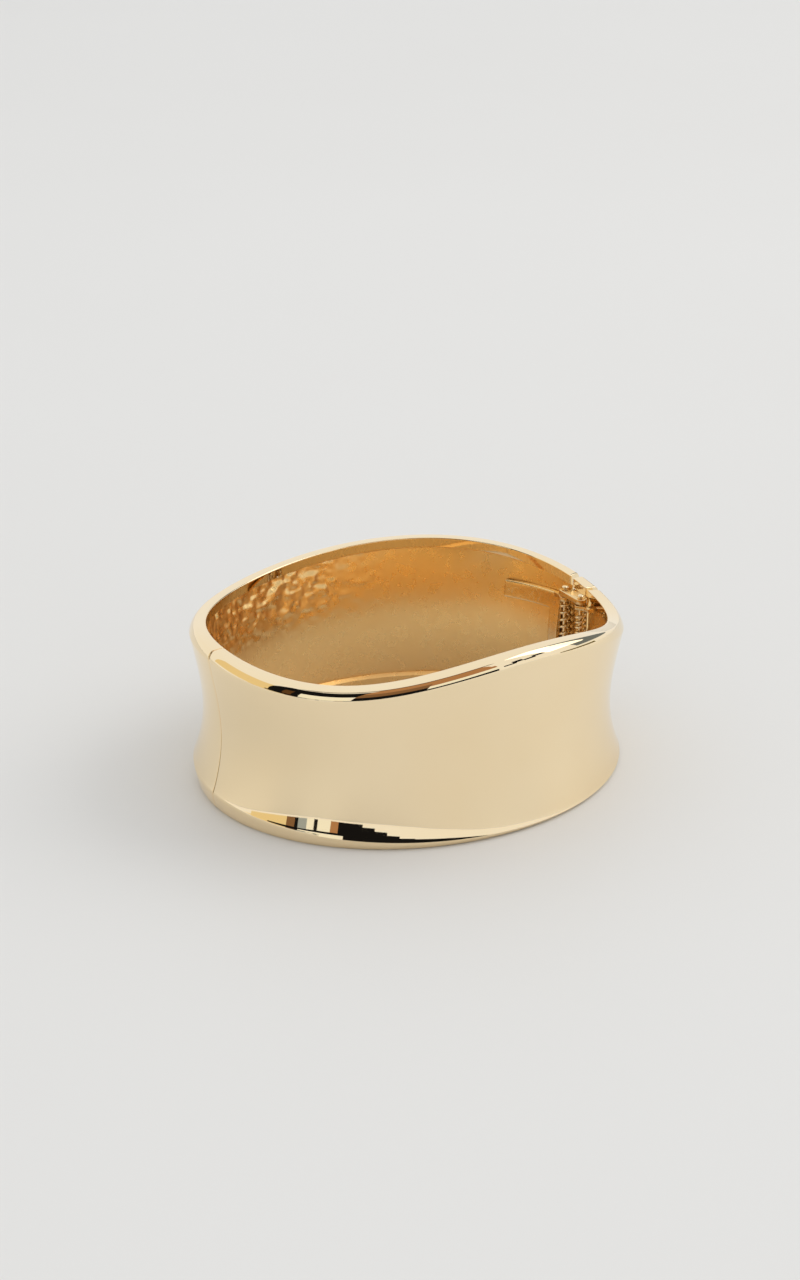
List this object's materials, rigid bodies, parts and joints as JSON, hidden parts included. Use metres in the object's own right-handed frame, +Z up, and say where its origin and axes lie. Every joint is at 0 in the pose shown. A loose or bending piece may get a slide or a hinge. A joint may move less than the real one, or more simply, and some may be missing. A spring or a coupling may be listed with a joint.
{
  "type": "hinged cuff bracelet",
  "caption": "Wide oval hinged cuff in polished gold-coloured metal, with a waisted wall, waved upper rim, plain butt seam and sprung hinge.",
  "frame": {"origin": "middle of the plane that the lower rim stands on", "axes": "+Z up along the wrist opening; +X to the hinge, -X to the seam; +Y to the rear half, -Y to the front half"},
  "size_m": [0.066, 0.0576, 0.0277],
  "materials": {
    "plated_cast_metal": "pale gold plating, mirror polished outside and on the lips, as cast inside",
    "plated_pressed_metal": "gold plating over pressed plate, satin",
    "plated_wire": "gold plating over drawn wire, bright"
  },
  "bodies": {
    "rear": {"rear_half": "plated_cast_metal", "hinge_leaf": "plated_pressed_metal"},
    "link": {"hinge_link": "plated_cast_metal", "front_pin": "plated_wire", "rear_pin": "plated_wire", "front_spring": "plated_wire", "rear_spring": "plated_wire"},
    "front": {"front_half": "plated_cast_metal"}
  },
  "joints": [
    {"name": "rear_hinge", "type": "hinge", "parent": "rear", "child": "link", "pos_m": [0.0293, 0.0021, 0.011], "axis": [0, 0, 1], "range_deg": [0, 18], "stiffness_Nm_per_rad": 0.08, "springref_deg": -22.92},
    {"name": "front_hinge", "type": "hinge", "parent": "link", "child": "front", "pos_m": [0.0293, -0.0021, 0.011], "axis": [0, 0, 1], "range_deg": [0, 18], "stiffness_Nm_per_rad": 0.08, "springref_deg": -22.92}
  ]
}
